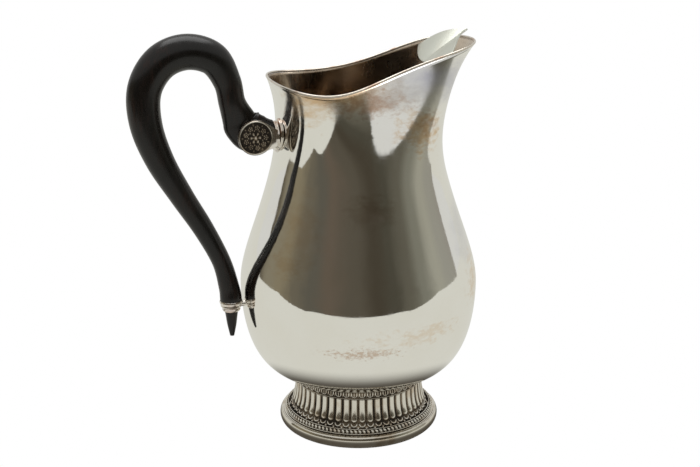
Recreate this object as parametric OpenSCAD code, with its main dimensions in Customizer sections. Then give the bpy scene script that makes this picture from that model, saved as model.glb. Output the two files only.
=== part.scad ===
// Silver water pitcher with a looped ebonised handle, an ice guard and an ornamented foot.
// Millimetres, +Z up, +X towards the spout, origin at the foot's centre on the surface it stands on.

/* [Body] */
// Diameter of the belly at its widest
belly_d = 136; // [110:1:170]
// Height of the widest point
belly_z = 87; // [75:1:104]
// Height of the underside of the body's floor
floor_z = 33.2; // [28:0.1:40]
// Diameter where the bowl turns into the flat floor
floor_d = 78; // [66:1:92]
// Height where the neck starts to open into the mouth
neck_z = 150; // [125:1:165]
// Diameter there
neck_d = 101; // [84:1:120]
// Thickness of the sheet metal
wall = 1.0; // [0.7:0.1:1.6]

/* [Mouth] */
// Reach of the spout's rim from the centre
spout_reach = 67; // [56:1:80]
// Reach of the rear rim from the centre
rear_reach = 49.5; // [42:0.5:59]
// Height of the spout's rim
spout_z = 222.5; // [205:0.5:260]
// Height of the rear rim
rear_z = 205; // [190:0.5:220]
// Height of the rim at its low sides
side_z = 207.5; // [190:0.5:215]
// Mean half width of the mouth
mouth_w = 38.5; // [32:0.5:46]
// How much wider the rear of the mouth is than the spout
pear = 7.5; // [4:0.5:9]
// How much the sides pinch in ahead of the middle
pinch = 8.8; // [5:0.1:10]
// Outward slope of the wall at the spout's rim
spout_flare = 0.9; // [0.6:0.05:1.1]
// Diameter of the wire along the rim
rim_wire_d = 1.3; // [1.1:0.1:2]

/* [Ice guard] */
// Thickness of the guard's sheet
guard_t = 0.9; // [0.6:0.1:1.4]
// Rise of the guard's front edge, as a share of the rim's rise from its low sides to the spout
guard_rise = 0.73; // [0.5:0.01:0.85]
// Drop of the guard's rear edge below them
guard_drop = 6; // [3:0.5:9]
// Length of the pointed lip
guard_lip = 8.5; // [3:0.5:10]

/* [Foot] */
// Outer diameter of the foot
foot_d = 93.2; // [82:0.2:108]
// Radius of the half-round base ring
base_r = 5; // [4:0.1:6]
// Height of the base ring
base_h = 7.6; // [6.6:0.1:8.4]
// Diameter of the bead band's section
bead_d = 3.4; // [2.4:0.1:4]
// Height of the leaf border
leaf_h = 5.2; // [4.4:0.1:6.4]
// Height of the band under the body
neck_band_h = 6.2; // [4:0.1:7.4]
// Diameter of the spool where it meets that band
waist_d = 74; // [62:1:78]

/* [Handle] */
// Length of wood behind the socket, measured out from the body's wall at the socket
handle_reach = 82.6; // [70:0.2:97]
// Height of the handle's top above the socket's centre
handle_rise = 58.3; // [50:0.1:66]
// Thickness of the grip at its thickest
grip_t = 19.3; // [17:0.1:22]
// Height of the centre of the socket and of its rosettes
socket_z = 175.2; // [166:0.2:184]
// Diameter of a rosette
rosette_d = 19.4; // [16:0.2:20]
// Thickness of a rosette
rosette_t = 1.5; // [1:0.1:2]
// Width of the wood between the socket's cheeks
tongue_w = 12; // [9:0.5:14]
// Thickness of a cheek
cheek_t = 1.5; // [1:0.1:2]
// Diameter of the socket's pin
pin_d = 4; // [3:0.1:5]
// Height of the top of the lower ferrule
ferrule_z = 82; // [76:0.2:92]
// Height of the lower ferrule
ferrule_h = 6.2; // [5:0.1:8]
// Diameter of the wood where it enters the ferrule
ferrule_bore_d = 12.1; // [10:0.1:13]
// Depth of the peg below the ferrule's top
peg_drop = 2.8; // [2.6:0.1:3.4]
// Diameter of the peg that joins the ferrule to the belly
peg_d = 3.2; // [2.6:0.1:4]

/* [Fits] */
// Gap left for solder between fixed pieces
solder = 0.06; // [0.04:0.01:0.12]
// Radial clearance of the pin and the peg
pin_fit = 0.05; // [0.03:0.01:0.1]
// Clearance round the wood in its metal fittings
wood_fit = 0.2; // [0.15:0.01:0.3]

/* [Hidden] */
silver = [0.79, 0.79, 0.77];
dark_silver = [0.55, 0.53, 0.49];
ebony = [0.09, 0.07, 0.06];
$fn = 96;
turn_steps = 64;       // divisions round the body
bowl_steps = 13;       // rings from the floor to the widest point
shoulder_steps = 12;   // rings from there to the neck
mouth_steps = 14;      // rings from the neck to the rim
body_steps = bowl_steps + shoulder_steps + mouth_steps;
bowl_power = 0.36;     // below 1: a full, round-bottomed bowl
rear_flare = 0.4;      // outward slope of the wall at the rear rim
side_flare = -0.5;     // and at the low sides, where the wall leans in
rim_shift = -1.4;      // carries the low sides of the rim towards the rear
tip_square = 2.1;      // squares the rounded tip of the spout
flare_shift = 0.15;    // keeps the flare near the spout's tip
neck_slope = -0.27;    // slope of the wall where the neck opens

function mix(a, b, t) = a + (b - a) * t;
function bezier(p0, p1, p2, p3, t) =
    pow(1 - t, 3) * p0 + 3 * t * pow(1 - t, 2) * p1 + 3 * t * t * (1 - t) * p2 + t * t * t * p3;
function unit(v) = v / norm(v);

// Mouth: the rim is one closed curve, written as short cosine and sine series of the angle u.
mouth_mid = (spout_reach - rear_reach) / 2;
mouth_half = (spout_reach + rear_reach) / 2;
rim_mean_z = (spout_z + rear_z) / 2;
rim_dip = (rim_mean_z - side_z) / 2;
flare_mean = (spout_flare + rear_flare) / 2;
flare_dip = (flare_mean - side_flare) / 2;
function rim_x(u) = mouth_mid - 1 + (mouth_half - tip_square) * cos(u) + cos(2 * u) + tip_square * cos(3 * u);
function rim_y(u) = mouth_w * sin(u) - pear * sin(2 * u) + pinch * sin(3 * u);
function rim_z(u) = rim_mean_z - rim_dip + ((spout_z - rear_z) / 2 - rim_shift) * cos(u)
                    + rim_dip * cos(2 * u) + rim_shift * cos(3 * u);
function flare(u) = side_flare + flare_dip + ((spout_flare - rear_flare) / 2 - flare_shift) * cos(u)
                    + flare_dip * cos(2 * u) + flare_shift * cos(3 * u);

// Body surface: k runs 0 to 1 up the bowl, 1 to 2 up the shoulder and 2 to 3 up the mouth.
belly_r = belly_d / 2;
neck_r = neck_d / 2;
bowl_start = asin(pow(floor_d / belly_d, 1 / bowl_power));
bowl_depth = (belly_z - floor_z) / cos(bowl_start);
shoulder_low = (neck_z - belly_z) * 0.26;
shoulder_high = (neck_z - belly_z) * 0.46;
function bowl_rz(t) = let (a = mix(bowl_start, 90, t))
    [belly_r * pow(sin(a), bowl_power), belly_z - bowl_depth * cos(a)];
function shoulder_rz(t) = bezier([belly_r, belly_z], [belly_r, belly_z + shoulder_low],
    [neck_r - neck_slope * shoulder_high, neck_z - shoulder_high], [neck_r, neck_z], t);
function turned(rz, u) = [rz[0] * cos(u), rz[0] * sin(u), rz[1]];
function ease(s) = s * s * (3 - 2 * s);
function mouth_point(u, s) =
    let (h = rim_z(u) - neck_z,
         along = ease(s),
         lean = h * ((pow(s, 3) - 2 * s * s + s) * neck_slope + (pow(s, 3) - s * s) * flare(u)))
    [((1 - along) * neck_r + lean) * cos(u) + along * rim_x(u),
     ((1 - along) * neck_r + lean) * sin(u) + along * rim_y(u),
     neck_z + s * h];
function body_point(u, k) = k < 1 ? turned(bowl_rz(k), u)
    : k < 2 ? turned(shoulder_rz(k - 1), u)
    : mouth_point(u, k - 2);
probe = 0.002;
function body_normal(u, k) =
    let (low = max(k - probe, 0), high = min(k + probe, 3))
    unit(cross(body_point(u + 0.2, k) - body_point(u - 0.2, k), body_point(u, high) - body_point(u, low)));
function inner_point(u, k) = body_point(u, k) - wall * body_normal(u, k);
function level_k(u, z) = 2 + (z - neck_z) / (rim_z(u) - neck_z);
function step_k(i) = i <= bowl_steps ? i / bowl_steps
    : i <= bowl_steps + shoulder_steps ? 1 + (i - bowl_steps) / shoulder_steps
    : 2 + (i - bowl_steps - shoulder_steps) / mouth_steps;

// A closed skin over rows of points that each close on themselves; the first and last rows are capped.
module capped_rows(rows) {
    n = len(rows[0]);
    m = len(rows);
    polyhedron(
        points = [for (row = rows) for (p = row) p],
        faces = concat(
            [for (i = [0 : m - 2]) for (j = [0 : n - 1]) [i * n + j, i * n + (j + 1) % n, (i + 1) * n + j]],
            [for (i = [0 : m - 2]) for (j = [0 : n - 1])
                [i * n + (j + 1) % n, (i + 1) * n + (j + 1) % n, (i + 1) * n + j]],
            [[for (j = [n - 1 : -1 : 0]) j]],
            [[for (j = [0 : n - 1]) (m - 1) * n + j]]),
        convexity = 8);
}

// A closed ring over rows of points that each close on themselves; the last row joins the first.
module looped_rows(rows) {
    n = len(rows[0]);
    m = len(rows);
    polyhedron(
        points = [for (row = rows) for (p = row) p],
        faces = concat(
            [for (i = [0 : m - 1]) for (j = [0 : n - 1])
                [i * n + j, i * n + (j + 1) % n, ((i + 1) % m) * n + j]],
            [for (i = [0 : m - 1]) for (j = [0 : n - 1])
                [i * n + (j + 1) % n, ((i + 1) % m) * n + (j + 1) % n, ((i + 1) % m) * n + j]]),
        convexity = 8);
}

// A sheet between two grids of points of the same size, closed round its edge.
module sheet(top, bottom) {
    m = len(top) - 1;
    n = len(top[0]) - 1;
    across = n + 1;
    under = (m + 1) * across;
    function at(i, j) = i * across + j;
    polyhedron(
        points = concat([for (row = top) for (p = row) p], [for (row = bottom) for (p = row) p]),
        faces = concat(
            [for (i = [0 : m - 1]) for (j = [0 : n - 1]) [at(i, j), at(i, j + 1), at(i + 1, j)]],
            [for (i = [0 : m - 1]) for (j = [0 : n - 1]) [at(i, j + 1), at(i + 1, j + 1), at(i + 1, j)]],
            [for (i = [0 : m - 1]) for (j = [0 : n - 1])
                under * [1, 1, 1] + [at(i, j + 1), at(i, j), at(i + 1, j)]],
            [for (i = [0 : m - 1]) for (j = [0 : n - 1])
                under * [1, 1, 1] + [at(i + 1, j + 1), at(i, j + 1), at(i + 1, j)]],
            [for (i = [0 : m - 1]) for (j = [0, n]) for (half = [0, 1])
                rim_face(at(i, j), at(i + 1, j), under, half, j == 0)],
            [for (j = [0 : n - 1]) for (i = [0, m]) for (half = [0, 1])
                rim_face(at(i, j), at(i, j + 1), under, half, i == m)]),
        convexity = 8);
}
// One triangle of the strip that joins the edge from a to b on top to the same edge underneath.
function rim_face(a, b, under, half, flip) =
    let (face = half == 0 ? [a, b, a + under] : [b, b + under, a + under])
    flip ? face : [face[0], face[2], face[1]];

turn = 360 / turn_steps;
module body_shell() {
    color(silver)
    capped_rows(concat(
        [for (i = [0 : body_steps]) [for (j = [0 : turn_steps - 1]) body_point(j * turn, step_k(i))]],
        [for (i = [body_steps : -1 : 0]) [for (j = [0 : turn_steps - 1]) inner_point(j * turn, step_k(i))]]));
}

// Rim wire: round wire soldered along the top edge of the body.
wire_sides = 8;
wire_r = rim_wire_d / 2;
function wall_climb(u) = unit(body_point(u, 3) - body_point(u, 2.98));
// The wire stands off the edge at right angles to it, so a steep rim is cleared as well as a level one.
function edge_run(u) = unit(body_point(u + turn / 2, 3) - body_point(u - turn / 2, 3));
function edge_off(u) = unit(wall_climb(u) - (wall_climb(u) * edge_run(u)) * edge_run(u));
function wire_centre(u) = (body_point(u, 3) + inner_point(u, 3)) / 2 + (wire_r + solder) * edge_off(u);
module rim_wire() {
    color(silver)
    looped_rows([for (j = [0 : turn_steps - 1])
        let (u = j * turn,
             c = wire_centre(u),
             along = unit(wire_centre(u + turn / 2) - wire_centre(u - turn / 2)),
             out = unit(cross(along, wall_climb(u))),
             up = cross(out, along))
        [for (a = [0 : wire_sides - 1])
            c + wire_r * (cos(a * 360 / wire_sides) * out + sin(a * 360 / wire_sides) * up)]]);
}

// Ice guard: a sheet that springs from both side walls and arches over the spout.
guard_rear_u = 46;
guard_front_u = 44.5;
guard_depth = 0.012;       // how far below the rim it springs, as a share of the mouth's height
guard_back = -6;           // the rear edge's middle lies behind its ends
guard_ahead = 10.5;         // and the front edge's middle ahead of them, before the lip
guard_gap = 5 * solder;     // filled by the solder's fillet
guard_front_rise = guard_rise * (spout_z - side_z);
guard_long = 9;
guard_wide = 12;
function guard_point(s, t, below) =
    let (w = inner_point(mix(guard_rear_u, guard_front_u, s), 3 - guard_depth), arch = 1 - t * t)
    [w[0] + mix(guard_back, guard_ahead, s) * arch + guard_lip * s * pow(1 - abs(t), 3),
     t * (w[1] - guard_gap),
     w[2] + mix(-guard_drop, guard_front_rise, s) * arch - below];
function guard_rows(below) =
    [for (i = [0 : guard_long]) [for (j = [-guard_wide : guard_wide])
        guard_point(i / guard_long, j / guard_wide, below)]];
module ice_guard() {
    color(silver) sheet(guard_rows(0), guard_rows(guard_t));
}

// Foot: a stack of turned rings under the floor of the body.
foot_r = foot_d / 2;
base_c = foot_r - base_r;          // radius of the centre line of the base ring
base_lift = base_r - 0.4;          // height of that centre line; the ring is cut flat below
base_inner = base_c - 2.7;
bead_r = bead_d / 2;
bead_c = base_c + 0.7;
leaf_z = base_h + solder;
leaf_outer = bead_c - bead_r - solder;
spool_z = leaf_z + leaf_h + solder;
spool_foot = leaf_outer - 0.7;
neck_band_z = floor_z - solder - neck_band_h;
spool_top = neck_band_z - solder;
waist_r = waist_d / 2;
spool_t = 1.6;
function arc(cx, cz, r, from, to, steps) =
    [for (i = [0 : steps]) let (a = mix(from, to, i / steps)) [cx + r * cos(a), cz + r * sin(a)]];
function spool_curve(inset, steps) =
    [for (i = [0 : steps])
        bezier([spool_foot - inset, spool_z],
               [mix(spool_foot, waist_r, 0.62) - inset, mix(spool_z, spool_top, 0.16)],
               [waist_r + 0.1 - inset, mix(spool_z, spool_top, 0.5)],
               [waist_r - inset, spool_top], i / steps)];

module foot_base_ring() {
    low = -asin(base_lift / base_r);
    high = asin((base_h - base_lift) / base_r);
    color(silver)
    rotate_extrude()
        polygon(concat([[base_inner, 0]],
            arc(base_c, base_lift, base_r, low, high, 14),
            [[base_inner, base_h]]));
}

module foot_bead_band() {
    color(dark_silver)
    translate([0, 0, base_h + solder + bead_r])
        rotate_extrude()
            translate([bead_c, 0]) circle(bead_r, $fn = 24);
}

module foot_leaf_border() {
    round_r = 1.4;
    color(dark_silver)
    rotate_extrude()
        polygon(concat([[base_inner, leaf_z], [leaf_outer, leaf_z]],
            arc(leaf_outer - round_r, leaf_z + leaf_h - round_r, round_r, 0, 90, 6),
            [[base_inner, leaf_z + leaf_h]]));
}

module foot_spool() {
    color(dark_silver)
    rotate_extrude()
        polygon(concat(spool_curve(0, 12), [for (p = [12 : -1 : 0]) spool_curve(spool_t, 12)[p]]));
}

module foot_neck_band() {
    bulge = 1.2;
    color(dark_silver)
    rotate_extrude()
        polygon(concat([[waist_r - spool_t, neck_band_z], [waist_r, neck_band_z]],
            [for (i = [1 : 7]) [waist_r + bulge * sin(i * 180 / 8), neck_band_z + neck_band_h * i / 8]],
            [[waist_r, neck_band_z + neck_band_h], [waist_r - spool_t, neck_band_z + neck_band_h]]));
}

// Upper handle fittings: an almond plate on the neck, a flange, and two cheeks that hold the wood.
plate_h = 19;
plate_w = 11;
plate_t = 1.2;
flange_d = 16.4;
flange_t = 1.9;
socket_reach = rosette_d / 2 + 3.8;  // from the flange's back to the pin, clear of the rosettes
pin_lift = 1.2;                     // height of the pin above the flange's centre
wall_x = -body_point(180, level_k(180, socket_z))[0];
flange_x = wall_x + solder + plate_t + solder;
tongue_x = flange_x + flange_t + wood_fit;
pin_x = flange_x + socket_reach;
pin_z = socket_z + pin_lift;
cheek_y = tongue_w / 2 + wood_fit;
rosette_y = cheek_y + cheek_t + solder;
// The plate follows the body's surface: a goes up it, b across it, lift stands off the metal.
// It is filed flat where the flange sits.
function plate_point(a, b, lift) =
    let (z = socket_z + a * plate_h / 2, half = plate_w / 2 * pow(1 - a * a, 0.6) + 0.2,
         u = 180 + b * half / wall_x * 180 / PI, k = level_k(u, z))
    body_point(u, k) + lift * body_normal(u, k);
plate_rows = 12;
plate_cols = 4;
module upper_escutcheon() {
    top = [for (i = [-plate_rows : plate_rows]) [for (j = [-plate_cols : plate_cols])
        let (a = i / plate_rows, b = j / plate_cols)
        plate_point(a, b, solder + plate_t * (1 - 0.45 * pow(max(abs(a), abs(b)), 4)))]];
    bottom = [for (i = [-plate_rows : plate_rows]) [for (j = [-plate_cols : plate_cols])
        plate_point(i / plate_rows, j / plate_cols, solder)]];
    color(dark_silver)
    difference() {
        sheet(top, bottom);
        along_x(flange_x - solder, socket_z) cylinder(d = flange_d + 1, h = plate_h);
    }
}

module along_x(x, z) {
    translate([-x, 0, z]) rotate([0, -90, 0]) children();
}

module along_y(x, z, y) {
    translate([-x, y, z]) rotate([90, 0, 0]) children();
}

module cheek() {
    arm_x = socket_reach - flange_t / 2;
    arm_h = 4.6;
    linear_extrude(cheek_t)
        union() {
            circle(rosette_d / 2);
            polygon([[0, -rosette_d / 2], [arm_x, -arm_h - pin_lift], [arm_x, arm_h - pin_lift],
                     [rosette_d / 2 * cos(60), rosette_d / 2 * sin(60)]]);
        }
}

module handle_socket() {
    color(silver)
    difference() {
        union() {
            along_x(flange_x, socket_z) cylinder(d = flange_d, h = flange_t / 3);
            along_x(flange_x + flange_t / 3, socket_z) cylinder(d = flange_d - 1.2, h = flange_t / 3);
            along_x(flange_x + flange_t * 2 / 3, socket_z) cylinder(d = flange_d, h = flange_t / 3);
            along_y(pin_x, pin_z, -cheek_y) cheek();
            along_y(pin_x, pin_z, cheek_y + cheek_t) cheek();
        }
        along_y(pin_x, pin_z, rosette_y + 1) cylinder(r = pin_d / 2 + pin_fit, h = 2 * rosette_y + 2);
    }
}

module socket_pin() {
    color(silver)
    along_y(pin_x, pin_z, cheek_y + cheek_t) cylinder(d = pin_d, h = 2 * (cheek_y + cheek_t));
}

module rosette() {
    rim = 1.2;
    color(dark_silver)
    rotate_extrude()
        polygon([[0, 0], [rosette_d / 2, 0], [rosette_d / 2, rosette_t * 0.7],
                 [rosette_d / 2 - rim / 2, rosette_t], [rosette_d / 2 - rim, rosette_t * 0.7],
                 [rosette_d / 4, rosette_t * 0.8], [0, rosette_t]]);
}

module rosette_left() {
    along_y(pin_x, pin_z, -rosette_y) rosette();
}

module rosette_right() {
    mirror([0, 1, 0]) rosette_left();
}

// Handle: its centre line, half thickness in the plane of the loop and half width across it.
// Out is measured from the body's wall at the socket and up from the socket's centre, both as shares
// of the handle's reach and rise; the tongue and the tip have their own sizes.
grip_r = grip_t / 2;
ferrule_r = ferrule_bore_d / 2;
drop = socket_z - ferrule_z;
peg_z = ferrule_z - peg_drop;
tip_z = ferrule_z - ferrule_h - 15.2;
bowl_at_peg = belly_r * pow(sin(acos((belly_z - peg_z) / bowl_depth)), bowl_power);
ferrule_wall = 0.6;
ferrule_x = bowl_at_peg + 0.8 + ferrule_r + ferrule_wall;
function loop_at(out, up, thick, wide) =
    [-(wall_x + out * handle_reach), socket_z + up * handle_rise, thick * grip_r, wide * grip_r];
function arm_at(down, sway, thick, wide) =
    [-(mix(wall_x + 0.88 * handle_reach, ferrule_x, down) + sway), socket_z + 11 - down * (drop + 11),
     thick * grip_r, wide * grip_r];
handle_line = concat(
    [[-tongue_x, socket_z + 1.8, 7, tongue_w / 2 - 0.4],
     [-(tongue_x + 5.3), socket_z + 1.8, 9.4, tongue_w / 2 - 0.2],
     [-(tongue_x + 12), socket_z + 3, 11.4, tongue_w / 2],
     [-(tongue_x + 17), socket_z + 6.7, 10.2, tongue_w / 2]],
    [loop_at(0.27, 0.185, 0.95, 0.64), loop_at(0.31, 0.34, 0.77, 0.76), loop_at(0.34, 0.545, 0.79, 0.79),
     loop_at(0.43, 0.76, 0.94, 0.90), loop_at(0.60, 0.835, 1.00, 0.94), loop_at(0.77, 0.75, 1.00, 0.95),
     loop_at(0.88, 0.51, 0.96, 0.93)],
    [arm_at(0, 0.2, 0.91, 0.89), arm_at(0.194, 2.1, 0.81, 0.81), arm_at(0.395, -0.3, 0.685, 0.69),
     arm_at(0.587, -3.6, 0.60, 0.62), arm_at(0.774, -4.8, 0.55, 0.58), arm_at(0.923, -2.3, 0.60, 0.60)],
    [[-ferrule_x, ferrule_z, ferrule_r, ferrule_r],
     [-ferrule_x, ferrule_z - ferrule_h, ferrule_r * 0.645, ferrule_r * 0.645],
     [-ferrule_x, mix(tip_z, ferrule_z - ferrule_h, 0.44), ferrule_r * 0.43, ferrule_r * 0.43],
     [-ferrule_x, tip_z, ferrule_r * 0.2, ferrule_r * 0.2]]);
// A smooth curve through the points of the line, and its direction.
last_point = len(handle_line) - 1;
function line_at(i) = handle_line[max(0, min(last_point, i))];
function smooth(t) =
    let (i = min(floor(t), last_point - 1), f = t - i, a = line_at(i - 1), b = line_at(i), c = line_at(i + 1),
         d = line_at(i + 2))
    b + (c - a) / 2 * f + (a - 2.5 * b + 2 * c - d / 2) * f * f + (1.5 * (b - c) + (d - a) / 2) * f * f * f;
function heading(t) =
    let (d = smooth(min(t + 0.01, last_point)) - smooth(max(t - 0.01, 0)))
    unit([d[0], 0, d[1]]);
grip_steps = 3;        // rings between two points of the line
grip_sides = 20;
module handle_grip() {
    color(ebony)
    difference() {
        capped_rows([for (i = [0 : last_point * grip_steps])
            let (p = smooth(i / grip_steps), h = heading(i / grip_steps), side = cross([0, 1, 0], h))
            [for (a = [0 : grip_sides - 1])
                [p[0], 0, p[1]] + p[2] * cos(a * 360 / grip_sides) * side
                + [0, p[3] * sin(a * 360 / grip_sides), 0]]]);
        along_y(pin_x, pin_z, tongue_w) cylinder(r = pin_d / 2 + pin_fit, h = 2 * tongue_w);
        along_x(ferrule_x - ferrule_r - 2, peg_z) cylinder(r = peg_d / 2 + pin_fit, h = ferrule_r + 2);
    }
}

// Lower fittings: a stepped ferrule round the wood and a peg through its side into the belly.
module lower_ferrule() {
    inner_top = ferrule_r + wood_fit;
    inner_low = ferrule_r * 0.645 + wood_fit;
    color(silver)
    difference() {
        translate([-ferrule_x, 0, ferrule_z - ferrule_h])
            rotate([0, 0, 50]) rotate_extrude()
                polygon([[inner_low, 0], [inner_low + ferrule_wall, 0],
                         [inner_low + ferrule_wall + 0.5, ferrule_h * 0.14],
                         [inner_low + ferrule_wall, ferrule_h * 0.28],
                         [mix(inner_low, inner_top, 0.4) + ferrule_wall, ferrule_h * 0.38],
                         [mix(inner_low, inner_top, 0.5) + ferrule_wall + 0.3, ferrule_h * 0.48],
                         [mix(inner_low, inner_top, 0.55) + ferrule_wall, ferrule_h * 0.6],
                         [inner_top + ferrule_wall - 0.5, ferrule_h * 0.7],
                         [inner_top + ferrule_wall - 0.2, ferrule_h * 0.85],
                         [inner_top + ferrule_wall - 0.5, ferrule_h], [inner_top, ferrule_h]]);
        along_x(ferrule_x - ferrule_r - 3, peg_z) cylinder(r = peg_d / 2 + pin_fit, h = ferrule_r + 3);
    }
}

module lower_peg() {
    color(silver)
    along_x(bowl_at_peg + solder, peg_z) cylinder(d = peg_d, h = ferrule_x - bowl_at_peg - solder - 0.3);
}

body_shell();
rim_wire();
ice_guard();
foot_neck_band();
foot_spool();
foot_leaf_border();
foot_bead_band();
foot_base_ring();
upper_escutcheon();
handle_socket();
rosette_left();
rosette_right();
socket_pin();
handle_grip();
lower_ferrule();
lower_peg();
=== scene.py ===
import math

import bmesh
import bpy
from mathutils import Matrix, Vector


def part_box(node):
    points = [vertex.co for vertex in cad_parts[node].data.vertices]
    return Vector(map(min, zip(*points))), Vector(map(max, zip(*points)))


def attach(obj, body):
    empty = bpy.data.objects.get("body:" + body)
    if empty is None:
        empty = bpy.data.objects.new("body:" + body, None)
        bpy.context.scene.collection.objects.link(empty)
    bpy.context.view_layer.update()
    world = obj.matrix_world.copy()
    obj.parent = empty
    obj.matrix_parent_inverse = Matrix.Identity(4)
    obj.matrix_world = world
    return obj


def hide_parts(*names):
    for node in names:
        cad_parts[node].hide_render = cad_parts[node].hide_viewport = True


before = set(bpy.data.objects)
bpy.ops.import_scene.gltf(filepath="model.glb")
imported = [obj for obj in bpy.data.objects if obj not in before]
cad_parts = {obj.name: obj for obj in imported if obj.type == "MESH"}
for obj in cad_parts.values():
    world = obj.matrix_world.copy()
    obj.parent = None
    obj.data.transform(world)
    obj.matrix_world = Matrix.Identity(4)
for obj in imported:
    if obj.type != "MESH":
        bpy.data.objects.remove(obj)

mm = 0.001
fullTurn = 2 * math.pi
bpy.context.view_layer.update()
print("frame loaded:", len(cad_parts), "nodes")


# curves and numbers

def mix(a, b, t):
    return a + (b - a) * t


def ease(s):
    return s * s * (3 - 2 * s)


def bump(x, width):
    return math.exp(-(x / width) ** 2)


def bezier(p0, p1, p2, p3, t):
    return p0 * (1 - t) ** 3 + p1 * 3 * t * (1 - t) ** 2 + p2 * 3 * t * t * (1 - t) + p3 * t ** 3


# meshes

def rowsPerSpan(spans):
    # spans holds (start, end, number of rows); the result runs through all of them without repeats
    rows = []
    for start, end, count in spans:
        for i in range(count + 1):
            value = mix(start, end, i / count)
            if not rows or abs(rows[-1] - value) > 1e-9:
                rows.append(value)
    return rows


def wrappedSheet(rows, turns, place, layerName):
    # a grid bent round the axis; place gives a point and a mask value for each row and angle
    bm = bmesh.new()
    bmesh.ops.create_grid(bm, x_segments=len(rows) - 1, y_segments=turns, size=1)
    layer = bm.verts.layers.float.new(layerName)
    for vert in bm.verts:
        row = rows[round((vert.co.x + 1) / 2 * (len(rows) - 1))]
        point, mask = place(row, (vert.co.y + 1) * math.pi)
        vert.co = point
        vert[layer] = mask
    bmesh.ops.remove_doubles(bm, verts=bm.verts, dist=1e-7)
    bmesh.ops.dissolve_degenerate(bm, edges=bm.edges, dist=1e-8)
    bmesh.ops.recalc_face_normals(bm, faces=bm.faces)
    return bm


def makePiece(name, bm, material, nodes):
    mesh = bpy.data.meshes.new(name)
    bm.to_mesh(mesh)
    bm.free()
    for polygon in mesh.polygons:
        polygon.use_smooth = True
    piece = bpy.data.objects.new(name, mesh)
    bpy.context.scene.collection.objects.link(piece)
    mesh.materials.append(material)
    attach(piece, "root")
    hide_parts(*nodes)


def roundEdges(bm, sharperThan, width, segments):
    limit = math.radians(sharperThan)
    edges = [e for e in bm.edges if len(e.link_faces) == 2 and e.calc_face_angle() > limit]
    bmesh.ops.bevel(bm, geom=edges, offset=width, offset_type="OFFSET", affect="EDGES",
                    segments=segments, profile=0.5, material=-1, clamp_overlap=True)


def softenedCopy(node, width, segments):
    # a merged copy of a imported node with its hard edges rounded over
    bm = bmesh.new()
    bm.from_mesh(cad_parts[node].data)
    bmesh.ops.remove_doubles(bm, verts=bm.verts, dist=1e-6)
    bmesh.ops.dissolve_limit(bm, angle_limit=math.radians(1.5), verts=bm.verts, edges=bm.edges)
    roundEdges(bm, 35, width, segments)
    return bm


# materials

def newGroup(name, inputs, outputs):
    group = bpy.data.node_groups.new(name, "ShaderNodeTree")
    for label, kind, value in inputs:
        socket = group.interface.new_socket(name=label, in_out="INPUT", socket_type=kind)
        socket.default_value = value
    for label, kind in outputs:
        group.interface.new_socket(name=label, in_out="OUTPUT", socket_type=kind)
    return group, group.nodes.new("NodeGroupInput"), group.nodes.new("NodeGroupOutput")


def addNode(tree, kind, **settings):
    node = tree.nodes.new(kind)
    for key, value in settings.items():
        setattr(node, key, value)
    return node


def feed(tree, socket, value):
    # a value may be another node's output, a plain value, or None to leave the socket alone
    if isinstance(value, bpy.types.NodeSocket):
        tree.links.new(value, socket)
    elif value is not None:
        socket.default_value = value


def mathNode(tree, operation, first, second, clamp=False):
    node = addNode(tree, "ShaderNodeMath", operation=operation, use_clamp=clamp)
    feed(tree, node.inputs[0], first)
    feed(tree, node.inputs[1], second)
    return node.outputs[0]


def vectorNode(tree, operation, first, second=None):
    node = addNode(tree, "ShaderNodeVectorMath", operation=operation)
    feed(tree, node.inputs[0], first)
    feed(tree, node.inputs[1], second)
    return node.outputs["Value"] if operation == "LENGTH" else node.outputs[0]


def mixColour(tree, mask, first, second):
    node = addNode(tree, "ShaderNodeMix", data_type="RGBA")
    tree.links.new(mask, node.inputs[0])
    for socket, colour in ((node.inputs[6], first), (node.inputs[7], second)):
        feed(tree, socket, (*colour, 1) if isinstance(colour, tuple) else colour)
    return node.outputs[2]


def noiseNode(tree, vector, scale, detail=4, roughness=0.55):
    node = addNode(tree, "ShaderNodeTexNoise")
    feed(tree, node.inputs["Scale"], scale)
    node.inputs["Detail"].default_value = detail
    node.inputs["Roughness"].default_value = roughness
    tree.links.new(vector, node.inputs["Vector"])
    return node.outputs["Fac"]


def spread(tree, value, low, high, toLow=0, toHigh=1):
    node = addNode(tree, "ShaderNodeMapRange", interpolation_type="SMOOTHSTEP")
    tree.links.new(value, node.inputs["Value"])
    for label, number in (("From Min", low), ("From Max", high), ("To Min", toLow), ("To Max", toHigh)):
        node.inputs[label].default_value = number
    return node.outputs["Result"]


def buildStainGroup():
    # one soft, ragged stain: 1 in its middle, 0 outside its radii
    group, start, end = newGroup("tarnishStain", (
        ("Position", "NodeSocketVector", (0, 0, 0)), ("Centre", "NodeSocketVector", (0, 0, 0)),
        ("Radii", "NodeSocketVector", (1, 1, 1)), ("Grain", "NodeSocketFloat", 200),
        ("Raggedness", "NodeSocketFloat", 0.6)), (("Mask", "NodeSocketFloat"),))
    away = vectorNode(group, "SUBTRACT", start.outputs["Position"], start.outputs["Centre"])
    distance = vectorNode(group, "LENGTH", vectorNode(group, "DIVIDE", away, start.outputs["Radii"]))
    stretched = vectorNode(group, "MULTIPLY", start.outputs["Position"], (1, 1, 1.7))
    grain = noiseNode(group, stretched, start.outputs["Grain"], 6, 0.65)
    swing = mathNode(group, "MULTIPLY", mathNode(group, "SUBTRACT", grain, 0.5),
                     mathNode(group, "MULTIPLY", start.outputs["Raggedness"], 2.6))
    ragged = mathNode(group, "ADD", distance, swing)
    group.links.new(spread(group, ragged, 0.0, 1.15, 1, 0), end.inputs["Mask"])
    return group


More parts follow.
